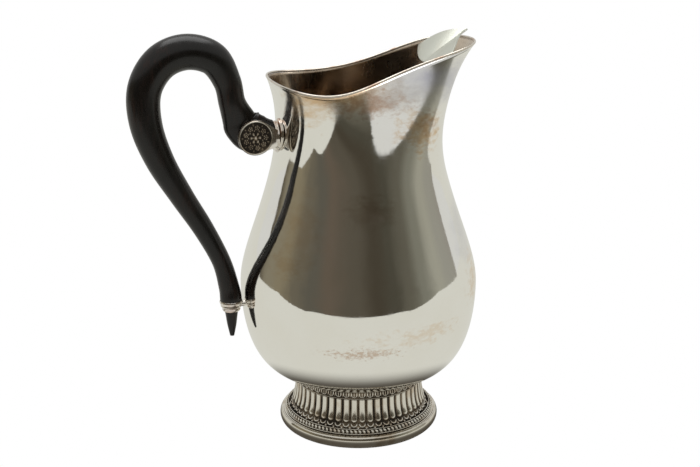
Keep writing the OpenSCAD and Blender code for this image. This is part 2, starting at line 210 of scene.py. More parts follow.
def buildPolishGroup():
    # hand polish: long faint rubbing marks that run up the metal, and short crossing hairlines
    group, start, end = newGroup("handPolish", (
        ("Position", "NodeSocketVector", (0, 0, 0)), ("Fineness", "NodeSocketFloat", 500)),
        (("Haze", "NodeSocketFloat"), ("Height", "NodeSocketFloat")))
    upright = vectorNode(group, "MULTIPLY", start.outputs["Position"], (1, 1, 0.05))
    crossing = vectorNode(group, "MULTIPLY", start.outputs["Position"], (0.16, 0.16, 1.2))
    rubbed, hairlines = [noiseNode(group, vector, start.outputs["Fineness"], 5, 0.6)
                         for vector in (upright, crossing)]
    broad = noiseNode(group, start.outputs["Position"], 22)
    haze = mathNode(group, "MULTIPLY", spread(group, rubbed, 0.35, 0.75), spread(group, broad, 0.35, 0.7))
    group.links.new(haze, end.inputs["Haze"])
    group.links.new(mathNode(group, "ADD", rubbed, mathNode(group, "MULTIPLY", hairlines, 0.5)),
                    end.inputs["Height"])
    return group


def buildPatinaGroup():
    # dark sulphide left in hollows, with a brown edge where the cloth has half rubbed it away
    group, start, end = newGroup("hollowPatina", (
        ("Position", "NodeSocketVector", (0, 0, 0)), ("Recess", "NodeSocketFloat", 0),
        ("Amount", "NodeSocketFloat", 1)), (("Colour", "NodeSocketColor"), ("Haze", "NodeSocketFloat")))
    patches = spread(group, noiseNode(group, start.outputs["Position"], 60), 0.35, 0.65, 0.55, 1.1)
    depth = mathNode(group, "MULTIPLY", start.outputs["Recess"],
                     mathNode(group, "MULTIPLY", patches, start.outputs["Amount"]), clamp=True)
    warm = spread(group, noiseNode(group, start.outputs["Position"], 95), 0.48, 0.66, 0, 0.55)
    bright = mixColour(group, warm, (0.80, 0.77, 0.70), (0.52, 0.39, 0.26))
    brown = mixColour(group, spread(group, depth, 0.06, 0.42), bright, (0.24, 0.19, 0.135))
    dark = mixColour(group, spread(group, depth, 0.45, 0.95), brown, (0.05, 0.042, 0.035))
    group.links.new(dark, end.inputs["Colour"])
    group.links.new(depth, end.inputs["Haze"])
    return group


stainGroup = buildStainGroup()
polishGroup = buildPolishGroup()
patinaGroup = buildPatinaGroup()


def placeGroup(tree, group, links=(), **values):
    node = addNode(tree, "ShaderNodeGroup", node_tree=group)
    for label, socket in dict(links).items():
        tree.links.new(socket, node.inputs[label])
    for label, value in values.items():
        node.inputs[label].default_value = value
    return node.outputs


def newMaterial(name, metallic=1.0, coat=0.0):
    material = bpy.data.materials.new(name)
    material.use_nodes = True
    tree = material.node_tree
    shader = tree.nodes["Principled BSDF"]
    shader.inputs["Metallic"].default_value = metallic
    shader.inputs["Coat Weight"].default_value = coat
    position = addNode(tree, "ShaderNodeTexCoord").outputs["Object"]
    return material, tree, shader, position


def addBump(tree, shader, height, finish):
    node = addNode(tree, "ShaderNodeBump")
    node.inputs["Strength"].default_value = finish["bump"]
    node.inputs["Distance"].default_value = finish["bumpDepth"]
    tree.links.new(height, node.inputs["Height"])
    tree.links.new(node.outputs["Normal"], shader.inputs["Normal"])


tan = (0.74, 0.52, 0.30)
rust = (0.50, 0.29, 0.16)
violet = (0.62, 0.62, 0.70)
bodyFinish = {
    "silver": (0.93, 0.92, 0.88),
    "cloudy": (0.86, 0.83, 0.74),
    "cloudyShare": 0.22,
    "inside": (0.66, 0.56, 0.45),
    "insideDark": (0.30, 0.22, 0.15),
    "insideBright": (0.90, 0.86, 0.78),
    "insideBrightShare": 0.8,
    "roughness": 0.04,
    "hazeRoughness": 0.07,
    "stainRoughness": 0.10,
    "insideRoughness": 0.10,
    "fineness": 420,
    "bump": 0.22,
    "bumpDepth": 0.00008,
    "cloudFrom": 182,          # millimetres up: the polish turns cloudy towards the mouth
    "cloudTo": 202,
    "cloudRoughness": 0.12,
    "stains": [
        # centre and radii in millimetres, colour, strength, grain, raggedness
        ((-22, -34, 203), (38, 24, 11), tan, 0.95, 90, 0.7),
        ((-4, -34, 197), (26, 18, 8), rust, 0.80, 200, 1.0),
        ((-34, -26, 196), (14, 18, 12), tan, 0.70, 140, 1.0),
        ((24, -36, 180), (15, 16, 13), tan, 0.75, 150, 1.3),
        ((28, -32, 184), (8, 12, 9), rust, 0.50, 240, 1.4),
        ((34, -24, 206), (30, 18, 15), violet, 0.95, 60, 0.5),
        ((12, -36, 200), (26, 20, 9), (0.55, 0.52, 0.50), 0.55, 90, 0.9),
        ((50, -30, 120), (12, 24, 30), violet, 0.45, 50, 0.6),
        ((-8, -52, 141), (14, 18, 10), (0.45, 0.34, 0.22), 0.55, 120, 0.8),
        ((-40, -30, 128), (13, 24, 24), tan, 0.35, 90, 0.9),
        ((56, -30, 92), (10, 20, 17), tan, 0.60, 130, 1.2),
        ((-14, -60, 66), (22, 14, 3.4), rust, 0.55, 420, 1.8),
        ((14, -60, 74), (30, 14, 6), tan, 0.35, 200, 1.6),
        ((-50, -34, 112), (12, 20, 8), tan, 0.30, 160, 1.2)],
}


def makeBodySilver():
    material, tree, shader, position = newMaterial("wornSilverPlate")
    polish = placeGroup(tree, polishGroup, {"Position": position}, Fineness=bodyFinish["fineness"])
    inside = addNode(tree, "ShaderNodeAttribute", attribute_name="inside").outputs["Fac"]
    cloudy = spread(tree, noiseNode(tree, position, 34), 0.35, 0.7)
    colour = mixColour(tree, mathNode(tree, "MULTIPLY", cloudy, bodyFinish["cloudyShare"]),
                       bodyFinish["silver"], bodyFinish["cloudy"])
    allStains = None
    for centre, radii, shade, strength, grain, raggedness in bodyFinish["stains"]:
        mask = placeGroup(tree, stainGroup, {"Position": position}, Centre=[c * mm for c in centre],
                          Radii=[r * mm for r in radii], Grain=grain, Raggedness=raggedness)["Mask"]
        weight = mathNode(tree, "MULTIPLY", mask, strength)
        colour = mixColour(tree, weight, colour, shade)
        allStains = weight if allStains is None else mathNode(tree, "MAXIMUM", allStains, weight)
    lengthways = vectorNode(tree, "MULTIPLY", position, (1, 0.5, 0.7))
    bronze = mixColour(tree, spread(tree, noiseNode(tree, lengthways, 30), 0.44, 0.58),
                       bodyFinish["inside"], bodyFinish["insideDark"])
    wiped = mathNode(tree, "MULTIPLY", spread(tree, noiseNode(tree, lengthways, 19), 0.52, 0.64),
                     bodyFinish["insideBrightShare"])
    bronze = mixColour(tree, wiped, bronze, bodyFinish["insideBright"])
    tree.links.new(mixColour(tree, inside, colour, bronze), shader.inputs["Base Color"])
    haze = mathNode(tree, "MULTIPLY", polish["Haze"], bodyFinish["hazeRoughness"])
    dull = mathNode(tree, "ADD", mathNode(tree, "MULTIPLY", allStains, bodyFinish["stainRoughness"]),
                    mathNode(tree, "MULTIPLY", inside, bodyFinish["insideRoughness"]))
    parts = addNode(tree, "ShaderNodeSeparateXYZ")
    tree.links.new(position, parts.inputs[0])
    cloud = spread(tree, parts.outputs["Z"], bodyFinish["cloudFrom"] * mm, bodyFinish["cloudTo"] * mm,
                   0, bodyFinish["cloudRoughness"])
    dull = mathNode(tree, "ADD", dull, cloud)
    rough = mathNode(tree, "ADD", mathNode(tree, "ADD", haze, dull), bodyFinish["roughness"])
    tree.links.new(rough, shader.inputs["Roughness"])
    addBump(tree, shader, polish["Height"], bodyFinish)
    return material


smoothFinish = {
    "fineness": 700,
    "patchShare": 0.75,
    "hazeRoughness": 0.14,
    "bump": 0.12,
    "bumpDepth": 0.00008,
}


def makeSmoothSilver(name, shade, warmShade, roughness):
    material, tree, shader, position = newMaterial(name)
    polish = placeGroup(tree, polishGroup, {"Position": position}, Fineness=smoothFinish["fineness"])
    patches = spread(tree, noiseNode(tree, position, 75), 0.5, 0.72)
    warmth = mathNode(tree, "MULTIPLY", patches, smoothFinish["patchShare"])
    colour = mixColour(tree, warmth, shade, warmShade)
    tree.links.new(colour, shader.inputs["Base Color"])
    haze = mathNode(tree, "MULTIPLY", polish["Haze"], smoothFinish["hazeRoughness"])
    tree.links.new(mathNode(tree, "ADD", haze, roughness), shader.inputs["Roughness"])
    addBump(tree, shader, polish["Height"], smoothFinish)
    return material


ornamentFinish = {"hazeRoughness": 0.30, "grain": 1500, "bump": 0.20, "bumpDepth": 0.0001}


def makeOrnamentSilver(name, amount, roughness):
    material, tree, shader, position = newMaterial(name)
    recess = addNode(tree, "ShaderNodeAttribute", attribute_name="recess").outputs["Fac"]
    patina = placeGroup(tree, patinaGroup, {"Position": position, "Recess": recess}, Amount=amount)
    tree.links.new(patina["Colour"], shader.inputs["Base Color"])
    haze = mathNode(tree, "MULTIPLY", patina["Haze"], ornamentFinish["hazeRoughness"])
    tree.links.new(mathNode(tree, "ADD", haze, roughness), shader.inputs["Roughness"])
    addBump(tree, shader, noiseNode(tree, position, ornamentFinish["grain"], 3), ornamentFinish)
    return material


woodFinish = {
    "black": (0.006, 0.005, 0.0045),
    "brown": (0.022, 0.009, 0.006),
    "roughness": 0.24,
    "streakRoughness": 0.06,
    "handledRoughness": 0.10,
    "specular": 0.32,
    "coat": 0.12,
    "coatRoughness": 0.14,
    "grain": 520,
    "grainStretch": (1, 1, 0.12),
    "bump": 0.10,
    "bumpDepth": 0.0001,
}


def makeEbony():
    material, tree, shader, position = newMaterial("ebonisedWood", 0.0, woodFinish["coat"])
    shader.inputs["Coat Roughness"].default_value = woodFinish["coatRoughness"]
    shader.inputs["Specular IOR Level"].default_value = woodFinish["specular"]
    alongGrain = vectorNode(tree, "MULTIPLY", position, woodFinish["grainStretch"])
    grain = noiseNode(tree, alongGrain, woodFinish["grain"], 6, 0.7)
    streaks = spread(tree, grain, 0.42, 0.68)
    worn = spread(tree, noiseNode(tree, position, 26), 0.42, 0.62)
    colour = mixColour(tree, mathNode(tree, "MULTIPLY", streaks, worn),
                       woodFinish["black"], woodFinish["brown"])
    tree.links.new(colour, shader.inputs["Base Color"])
    handled = spread(tree, noiseNode(tree, position, 70), 0.4, 0.7, 0, woodFinish["handledRoughness"])
    rough = mathNode(tree, "ADD", mathNode(tree, "MULTIPLY", streaks, woodFinish["streakRoughness"]), handled)
    tree.links.new(mathNode(tree, "ADD", rough, woodFinish["roughness"]), shader.inputs["Roughness"])
    addBump(tree, shader, grain, woodFinish)
    return material


bodySilver = makeBodySilver()
guardSilver = makeSmoothSilver("mattedSilver", (0.66, 0.67, 0.60), (0.60, 0.58, 0.49), 0.42)
rimSilver = makeSmoothSilver("rimSilver", (0.74, 0.68, 0.60), (0.46, 0.28, 0.18), 0.20)
baseSilver = makeSmoothSilver("baseSilver", (0.78, 0.74, 0.66), (0.50, 0.40, 0.29), 0.09)
fittingSilver = makeSmoothSilver("fittingSilver", (0.86, 0.82, 0.77), (0.56, 0.33, 0.22), 0.13)
ornamentSilver = makeOrnamentSilver("ornamentSilver", 1.0, 0.16)
rosetteSilver = makeOrnamentSilver("rosetteSilver", 1.15, 0.22)
ebony = makeEbony()
print("finishes ready")


# the body, its rim wire and the ice guard

bodyLow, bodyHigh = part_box("body_shell")
bodyForm = {
    "bellyRadius": bodyHigh.y,
    "bellyZ": 87 * mm,
    "floorZ": bodyLow.z,
    "floorRadius": 39 * mm,
    "fullness": 0.36,          # below 1: a full, round-bottomed bowl
    "neckZ": 150 * mm,
    "neckRadius": 50.5 * mm,
    "neckSlope": -0.27,
    "lowPull": 0.26,           # how far the shoulder's curve leaves upright, and arrives
    "highPull": 0.46,
    "wall": 1 * mm,
    "turns": 288,
}
rimForm = {
    "spoutReach": 67 * mm,
    "rearReach": 49.5 * mm,
    "spoutZ": 222.5 * mm,
    "rearZ": 205 * mm,
    "sideZ": 207.5 * mm,
    "halfWidth": 38.5 * mm,
    "pear": 7.5 * mm,
    "pinch": 8.8 * mm,
    "tipSquare": 2.1 * mm,
    "shift": -1.4 * mm,
    "spoutFlare": 0.9,
    "rearFlare": 0.4,
    "sideFlare": -0.5,
    "flareShift": 0.15,
}


def rimX(u):
    middle = (rimForm["spoutReach"] - rimForm["rearReach"]) / 2
    half = (rimForm["spoutReach"] + rimForm["rearReach"]) / 2
    square = rimForm["tipSquare"]
    return middle - mm + (half - square) * math.cos(u) + mm * math.cos(2 * u) + square * math.cos(3 * u)


def rimY(u):
    return (rimForm["halfWidth"] * math.sin(u) - rimForm["pear"] * math.sin(2 * u)
            + rimForm["pinch"] * math.sin(3 * u))


def dippedRound(u, front, back, side, shift):
    # a value that goes from back to front round the mouth and dips at the sides
    mean = (front + back) / 2
    dip = (mean - side) / 2
    return (mean - dip + ((front - back) / 2 - shift) * math.cos(u) + dip * math.cos(2 * u)
            + shift * math.cos(3 * u))


def rimZ(u):
    return dippedRound(u, rimForm["spoutZ"], rimForm["rearZ"], rimForm["sideZ"], rimForm["shift"])


def flareAt(u):
    return dippedRound(u, rimForm["spoutFlare"], rimForm["rearFlare"], rimForm["sideFlare"],
                       rimForm["flareShift"])


bowlStart = math.asin((bodyForm["floorRadius"] / bodyForm["bellyRadius"]) ** (1 / bodyForm["fullness"]))
bowlDepth = (bodyForm["bellyZ"] - bodyForm["floorZ"]) / math.cos(bowlStart)


def bowlPoint(u, t):
    angle = mix(bowlStart, math.pi / 2, t)
    radius = bodyForm["bellyRadius"] * math.sin(angle) ** bodyForm["fullness"]
    return Vector((radius * math.cos(u), radius * math.sin(u),
                   bodyForm["bellyZ"] - bowlDepth * math.cos(angle)))


def shoulderPoint(u, t):
    rise = bodyForm["neckZ"] - bodyForm["bellyZ"]
    low, high = bodyForm["lowPull"] * rise, bodyForm["highPull"] * rise
    curve = bezier(Vector((bodyForm["bellyRadius"], bodyForm["bellyZ"])),
                   Vector((bodyForm["bellyRadius"], bodyForm["bellyZ"] + low)),
                   Vector((bodyForm["neckRadius"] - bodyForm["neckSlope"] * high, bodyForm["neckZ"] - high)),
                   Vector((bodyForm["neckRadius"], bodyForm["neckZ"])), t)
    return Vector((curve.x * math.cos(u), curve.x * math.sin(u), curve.y))


def mouthPoint(u, s):
    height = rimZ(u) - bodyForm["neckZ"]
    along = ease(s)
    lean = height * ((s ** 3 - 2 * s * s + s) * bodyForm["neckSlope"] + (s ** 3 - s * s) * flareAt(u))
    return Vector((((1 - along) * bodyForm["neckRadius"] + lean) * math.cos(u) + along * rimX(u),
                   ((1 - along) * bodyForm["neckRadius"] + lean) * math.sin(u) + along * rimY(u),
                   bodyForm["neckZ"] + s * height))


def bodyPoint(u, k):
    # k runs 0 to 1 up the bowl, 1 to 2 up the shoulder and 2 to 3 up the mouth
    if k < 1:
        return bowlPoint(u, k)
    return shoulderPoint(u, k - 1) if k < 2 else mouthPoint(u, k - 2)


def bodyNormal(u, k):
    probe = 0.002
    around = bodyPoint(u + probe, k) - bodyPoint(u - probe, k)
    upward = bodyPoint(u, min(k + probe, 3)) - bodyPoint(u, max(k - probe, 0))
    return around.cross(upward).normalized()


def innerPoint(u, k):
    return bodyPoint(u, k) - bodyForm["wall"] * bodyNormal(u, k)


def wallPlace(row, u):
    # rows from -1 to 3 climb the outside, and rows from 4 to 8 go down the inside
    inside = row > 3.5
    k = 7 - row if inside else row
    point = (innerPoint if inside else bodyPoint)(u, max(k, 0))
    if k < 0:
        point = Vector((point.x * (1 + k), point.y * (1 + k), point.z))
    return point, 1.0 if inside else 0.0


wallRows = rowsPerSpan([(-1, 0, 6), (0, 1, 44), (1, 2, 34), (2, 3, 40)])
wallRows += rowsPerSpan([(4, 5, 40), (5, 6, 30), (6, 7, 30), (7, 8, 6)])
makePiece("pitcherBody", wrappedSheet(wallRows, bodyForm["turns"], wallPlace, "inside"),
          bodySilver, ["body_shell"])
print("body ready")

rimWire = {
    "radius": 0.65 * mm,
    "lift": 0.06 * mm,
    "sides": 14,
    "probeRow": 2.98,          # just below the rim: which way the wall climbs
    "probeTurn": 0.05,
    "probeStep": 0.01,
}


def wireCentre(u):
    turn = rimWire["probeTurn"]
    climb = (bodyPoint(u, 3) - bodyPoint(u, rimWire["probeRow"])).normalized()
    along = (bodyPoint(u + turn, 3) - bodyPoint(u - turn, 3)).normalized()
    off = (climb - climb.dot(along) * along).normalized()
    return (bodyPoint(u, 3) + innerPoint(u, 3)) / 2 + off * (rimWire["radius"] + rimWire["lift"]), off


def wirePlace(row, u):
    centre, off = wireCentre(u)
    step = rimWire["probeStep"]
    along = (wireCentre(u + step)[0] - wireCentre(u - step)[0]).normalized()
    outward = along.cross(off).normalized()
    upward = outward.cross(along)
    angle = row * fullTurn
    return centre + rimWire["radius"] * (math.cos(angle) * outward + math.sin(angle) * upward), 0.0


wireSheet = wrappedSheet(rowsPerSpan([(0, 1, rimWire["sides"])]), bodyForm["turns"], wirePlace, "inside")
makePiece("rimWire", wireSheet, rimSilver, ["rim_wire"])

guardForm = {
    "thickness": 0.9 * mm,
    "rearAngle": math.radians(46),
    "frontAngle": math.radians(44.5),
    "depth": 0.012,            # how far below the rim it springs
    "back": -6 * mm,
    "ahead": 10.5 * mm,
    "drop": 6 * mm,
    "rise": 10.95 * mm,
    "lip": 8.5 * mm,
    "gap": 0.3 * mm,
    "edgeRound": 0.3 * mm,
    "rowsLong": 30,
    "rowsWide": 72,
}


def guardPoint(s, t):
    wall = innerPoint(mix(guardForm["rearAngle"], guardForm["frontAngle"], s), 3 - guardForm["depth"])
    arch = 1 - t * t
    return Vector((wall.x + mix(guardForm["back"], guardForm["ahead"], s) * arch
                   + guardForm["lip"] * s * (1 - abs(t)) ** 3,
                   t * (wall.y - guardForm["gap"]),
                   wall.z + mix(-guardForm["drop"], guardForm["rise"], s) * arch - guardForm["thickness"]))


def makeGuard():
    bm = bmesh.new()
    bmesh.ops.create_grid(bm, x_segments=guardForm["rowsLong"], y_segments=guardForm["rowsWide"], size=1)
    for vert in bm.verts:
        vert.co = guardPoint((vert.co.x + 1) / 2, vert.co.y)
    bmesh.ops.recalc_face_normals(bm, faces=bm.faces)
    if sum(face.normal.z for face in bm.faces) > 0:
        bmesh.ops.reverse_faces(bm, faces=bm.faces)
    bmesh.ops.solidify(bm, geom=bm.faces, thickness=guardForm["thickness"])
    bmesh.ops.recalc_face_normals(bm, faces=bm.faces)
    roundEdges(bm, 50, guardForm["edgeRound"], 3)
    return bm


makePiece("iceGuard", makeGuard(), guardSilver, ["ice_guard"])
print("rim and guard ready")


# the foot: five rings on one axis

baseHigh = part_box("foot_base_ring")[1]
spoolLow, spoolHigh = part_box("foot_spool")
bandLow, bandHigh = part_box("foot_neck_band")
borderLow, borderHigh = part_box("foot_leaf_border")
beadLow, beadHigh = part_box("foot_bead_band")
footForm = {
    "reeds": 52,
    "stepsPerReed": 16,
    "waist": 37 * mm,
    "wall": 1.5 * mm,
}
footTurns = footForm["reeds"] * footForm["stepsPerReed"]


def reedPosition(u):
    # -1 to 1 across one reed
    return ((u / fullTurn * footForm["reeds"] + 0.5) % 1) * 2 - 1


def radial(radius, u, z):
    return Vector((radius * math.cos(u), radius * math.sin(u), z))


spoolForm = {
    "lowPull": (0.62, 0.16),   # where the hollow curve bends, as shares inward and upward
    "highPull": (0.1 * mm, 0.5),
    "probe": 0.01,
    "reedWidth": 0.93,         # share of its pitch
    "reedHeight": 1.5 * mm,
    "grooveShare": 0.78,       # how much of a reed's height is cut below the plain surface
    "waistShare": 0.72,        # a reed's height at the waist
    "shelf": 0.5 * mm,         # plain strip under the rounded ends
    "edge": (0.30, 1.12, 0.10),     # fine line round an end: height, where, width
    "recess": (1.05, 1.25),
}


def spoolProfile(v):
    foot, waist = spoolHigh.x, footForm["waist"]
    inward, upward = spoolForm["lowPull"]
    outward, middle = spoolForm["highPull"]
    return bezier(Vector((foot, spoolLow.z)),
                  Vector((mix(foot, waist, inward), mix(spoolLow.z, spoolHigh.z, upward))),
                  Vector((waist + outward, mix(spoolLow.z, spoolHigh.z, middle))),
                  Vector((waist, spoolHigh.z)), v)


def spoolPlace(row, u):
    if row > 1.5:
        plain = spoolProfile(3 - row)
        return radial(plain.x - footForm["wall"], u, plain.y), 1.0
    plain = spoolProfile(row)
    probe = spoolForm["probe"]
    slope = (spoolProfile(min(row + probe, 1)) - spoolProfile(max(row - probe, 0))).normalized()
    across = reedPosition(u) / spoolForm["reedWidth"]
    half = math.pi * plain.x / footForm["reeds"]
    fromFoot = (plain - spoolProfile(0)).length - spoolForm["shelf"]
    beyond = max(0, (half - fromFoot) / half)
    reach = across * across + beyond * beyond
    crown = math.sqrt(max(1 - across * across - beyond * beyond, 0))
    lift = spoolForm["reedHeight"] * mix(1, spoolForm["waistShare"], row) * (crown - spoolForm["grooveShare"])
    edgeHeight, edgeAt, edgeWidth = spoolForm["edge"]
    edge = edgeHeight * bump(math.sqrt(reach) - edgeAt, edgeWidth) if beyond > 0 else 0
    lift += spoolForm["reedHeight"] * edge
    point = Vector((plain.x + lift * slope.y, plain.y - lift * slope.x))
    recess, crownClean = spoolForm["recess"]
    return radial(point.x, u, point.y), min(1, max(0, recess - crown * crown * crownClean - edge))


spoolRows = rowsPerSpan([(0, 0.3, 20), (0.3, 1, 28)]) + [2.0, 3.0, 0.0]
makePiece("reededSpool", wrappedSheet(spoolRows, footTurns, spoolPlace, "recess"),
          ornamentSilver, ["foot_spool"])


friezeForm = {
    "tongueEnd": 3.0 * mm,     # a tongue's rounded end, with its outline round it
    "tongueRadius": 1.5 * mm,
    "outlineWidth": 0.30 * mm,
    "ribHeight": 0.8,
    "ribWidth": 0.33 * mm,
    "ribFrom": 1.6 * mm,
    "dartHeight": 0.75,
    "dartWidth": 0.24 * mm,
    "dartAt": 1.9 * mm,
    "dartLength": 1.2 * mm,
    "edgeAt": 0.35 * mm,
    "edgeWidth": 0.30 * mm,
    "swell": 0.75 * mm,
    "sink": 0.25 * mm,
    "relief": 0.62 * mm,
    "clean": 1.15,
}


def friezePlace(row, u):
    # tongues with a raised outline and a rib, and a dart between each pair
    height = bandHigh.z - bandLow.z
    base = footForm["waist"]
    if row > 1.5:
        return radial(base - footForm["wall"], u, mix(bandHigh.z, bandLow.z, row - 2)), 1.0
    across = reedPosition(u)
    half = math.pi * base / footForm["reeds"]
    x = across * half
    y = row * height
    reach = math.hypot(x, max(0, friezeForm["tongueEnd"] - y))
    outline = bump(reach - friezeForm["tongueRadius"], friezeForm["outlineWidth"])
    rib = friezeForm["ribHeight"] * bump(x, friezeForm["ribWidth"]) if y > friezeForm["ribFrom"] else 0
    dart = (friezeForm["dartHeight"] * bump((1 - abs(across)) * half, friezeForm["dartWidth"])
            * bump(y - friezeForm["dartAt"], friezeForm["dartLength"]))
    edge = bump(y - friezeForm["edgeAt"], friezeForm["edgeWidth"])
    relief = max(outline, rib, dart, edge)
    swell = friezeForm["swell"] * math.sin(math.pi * row)
    radius = base + swell - friezeForm["sink"] + friezeForm["relief"] * relief
    return radial(radius, u, bandLow.z + y), max(0, 1 - relief * friezeForm["clean"])


friezeRows = rowsPerSpan([(0, 1, 26)]) + [2.0, 3.0, 0.0]
makePiece("neckFrieze", wrappedSheet(friezeRows, footTurns, friezePlace, "recess"),
          ornamentSilver, ["foot_neck_band"])

borderForm = {
    "wall": 2.2 * mm,
    "slope": 1.4 * mm,
    "slopeLength": 2.6 * mm,
    "cupAbove": 0.5 * mm,
    "cupRadius": 2.0 * mm,
    "cupWidth": 0.34 * mm,
    "tipHeight": 0.9,
    "tipWidth": 0.55 * mm,
    "tipAt": 2.3 * mm,
    "tipLength": 0.9 * mm,
    "holeAt": 0.55 * mm,
    "holeRadius": 0.42 * mm,
    "holeDepth": 0.5 * mm,
    "ribHeight": 0.55,
    "ribWidth": 0.3 * mm,
    "ribAt": 2.8 * mm,
    "ribLength": 0.8 * mm,
    "sink": 0.45 * mm,
    "relief": 0.55 * mm,
    "clean": 1.2,
}


def borderPlace(row, u):
    # scrolls that cup the ends of the reeds, leaf tips between them and a drilled dot over each tip
    outer = borderHigh.x
    height = borderHigh.z - borderLow.z
    if row > 1.5:
        return radial(outer - borderForm["wall"], u, mix(borderHigh.z, borderLow.z, row - 2)), 1.0
    across = reedPosition(u)
    half = math.pi * outer / footForm["reeds"]
    x = across * half
    y = row * height
    slope = outer - borderForm["slope"] * ease(max(0, 1 - y / borderForm["slopeLength"]))
    cup = bump(math.hypot(x, y + borderForm["cupAbove"]) - borderForm["cupRadius"], borderForm["cupWidth"])
    between = (1 - abs(across)) * half
    tip = (borderForm["tipHeight"] * bump(between, borderForm["tipWidth"])
           * bump(y - borderForm["tipAt"], borderForm["tipLength"]))
    hole = bump(math.hypot(between, y - borderForm["holeAt"]), borderForm["holeRadius"])
    rib = (borderForm["ribHeight"] * bump(x, borderForm["ribWidth"])
           * bump(y - borderForm["ribAt"], borderForm["ribLength"]))
    relief = max(cup, tip, rib)
    radius = slope - borderForm["sink"] + borderForm["relief"] * relief - borderForm["holeDepth"] * hole
    return radial(radius, u, borderHigh.z - y), min(1, max(0, 1 - relief * borderForm["clean"]) + hole)


borderRows = rowsPerSpan([(0, 1, 22)]) + [3.0, 2.0, 0.0]
makePiece("leafBorder", wrappedSheet(borderRows, footTurns, borderPlace, "recess"),
          ornamentSilver, ["foot_leaf_border"])

beadForm = {
    "beads": 112,
    "turns": 224,
    "core": 0.95 * mm,
    "wire": 0.30 * mm,
    "wireOff": 1.38 * mm,      # from the core's middle to each edge wire
    "wireOut": 0.25 * mm,
    "wireUp": 0.2 * mm,
    "facing": math.radians(38),
    "slant": math.radians(32),
    "seat": 0.8 * mm,
    "half": (0.62 * mm, 0.78 * mm, 1.22 * mm),
    "darkAt": math.radians(220),
}


def ringPlace(radius, height, section):
    def place(row, u):
        angle = row * fullTurn
        # the mask is highest on each section's lower inner side and lowest on its upper outer side
        lowInwardWeight = max(0.0, 0.55 + 0.45 * math.cos(angle - beadForm["darkAt"]))
        return radial(radius + section * math.cos(angle), u, height + section * math.sin(angle)), lowInwardWeight
    return place


def makeBeadBand():
    middle = (beadLow.z + beadHigh.z) / 2
    radius = beadHigh.x - (beadHigh.z - beadLow.z) / 2
    facing, off, turns = beadForm["facing"], beadForm["wireOff"], beadForm["turns"]
    bm = wrappedSheet(rowsPerSpan([(0, 1, 12)]), turns, ringPlace(radius, middle, beadForm["core"]), "recess")
    layer = bm.verts.layers.float["recess"]
    for vert in bm.verts:
        vert[layer] = 1
    for side in (-1, 1):
        out = radius + beadForm["wireOut"] + side * off * math.sin(facing)
        up = middle - side * off * math.cos(facing) + beadForm["wireUp"]
        ring = wrappedSheet(rowsPerSpan([(0, 1, 8)]), turns, ringPlace(out, up, beadForm["wire"]), "recess")
        mesh = bpy.data.meshes.new("beadWire")
        ring.to_mesh(mesh)
        ring.free()
        bm.from_mesh(mesh)
        bpy.data.meshes.remove(mesh)
    seat = Matrix.Translation((radius + beadForm["seat"] * math.cos(facing), 0,
                               middle + beadForm["seat"] * math.sin(facing)))
    turned = Matrix.Rotation(-facing, 4, "Y") @ Matrix.Rotation(beadForm["slant"], 4, "X")
    size = Matrix.Diagonal((*beadForm["half"], 1))
    for i in range(beadForm["beads"]):
        around = Matrix.Rotation(i * fullTurn / beadForm["beads"], 4, "Z")
        bmesh.ops.create_uvsphere(bm, u_segments=8, v_segments=6, radius=1,
                                  matrix=around @ seat @ turned @ size)
    bmesh.ops.recalc_face_normals(bm, faces=bm.faces)
    return bm


makePiece("beadBand", makeBeadBand(), ornamentSilver, ["foot_bead_band"])

baseForm = {
    "round": 5 * mm,
    "lift": 4.6 * mm,
    "innerDrop": 2.7 * mm,
    "heel": 0.4 * mm,
    "roundRows": 30,
    "line": 0.22 * mm,         # depth of the two fine turned lines on the shelf inside the round
    "linePoints": 9,
    "lineStep": 0.2 * mm,
    "turns": 256,
}


def baseProfile():
    centre = baseHigh.x - baseForm["round"]
    inner = centre - baseForm["innerDrop"]
    low = -math.asin(baseForm["lift"] / baseForm["round"])
    high = math.asin((baseHigh.z - baseForm["lift"]) / baseForm["round"])
    points = [Vector((inner, 0)), Vector((inner + baseForm["heel"], 0))]
    for i in range(baseForm["roundRows"] + 1):
        angle = mix(low, high, i / baseForm["roundRows"])
        points.append(Vector((centre + baseForm["round"] * math.cos(angle),
                              baseForm["lift"] + baseForm["round"] * math.sin(angle))))
    edge = points[-1]
    for step in range(1, baseForm["linePoints"] + 1):
        drop = baseForm["line"] * abs(math.sin(step * fullTurn / baseForm["linePoints"]))
        points.append(Vector((edge.x - step * baseForm["lineStep"], edge.y - drop)))
    return points + [Vector((inner, baseHigh.z)), Vector((inner, 0))]


baseOutline = baseProfile()


def basePlace(row, u):
    point = baseOutline[round(row)]
    return radial(point.x, u, point.y), 0.0


makePiece("baseRing", wrappedSheet(list(range(len(baseOutline))), baseForm["turns"], basePlace, "recess"),
          baseSilver, ["foot_base_ring"])
print("foot ready")


# the handle's fittings

rosetteLow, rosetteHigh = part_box("rosette_left")
rosetteForm = {
    "turns": 216,
    "relief": 0.75 * mm,
    "rim": (0.935, 0.045),     # where, as a share of the radius, and how wide
    "bud": 0.10,
    "petals": 6,
    "petalAt": (0.24, 0.09),
    "florets": 9,
    "floretAt": 0.58,
    "floretBud": 0.35 * mm,
    "floretRing": (1.05 * mm, 0.42 * mm),
    "leafAt": 0.76,
    "leaf": 0.75 * mm,
    "leafVeins": 9000,
    "seedAt": 0.42,
    "seed": 0.45 * mm,
    "dish": (0.88, 0.2 * mm),  # inside this share the face lies deeper
    "edgeFrom": 0.97,
    "clean": 1.1,
}


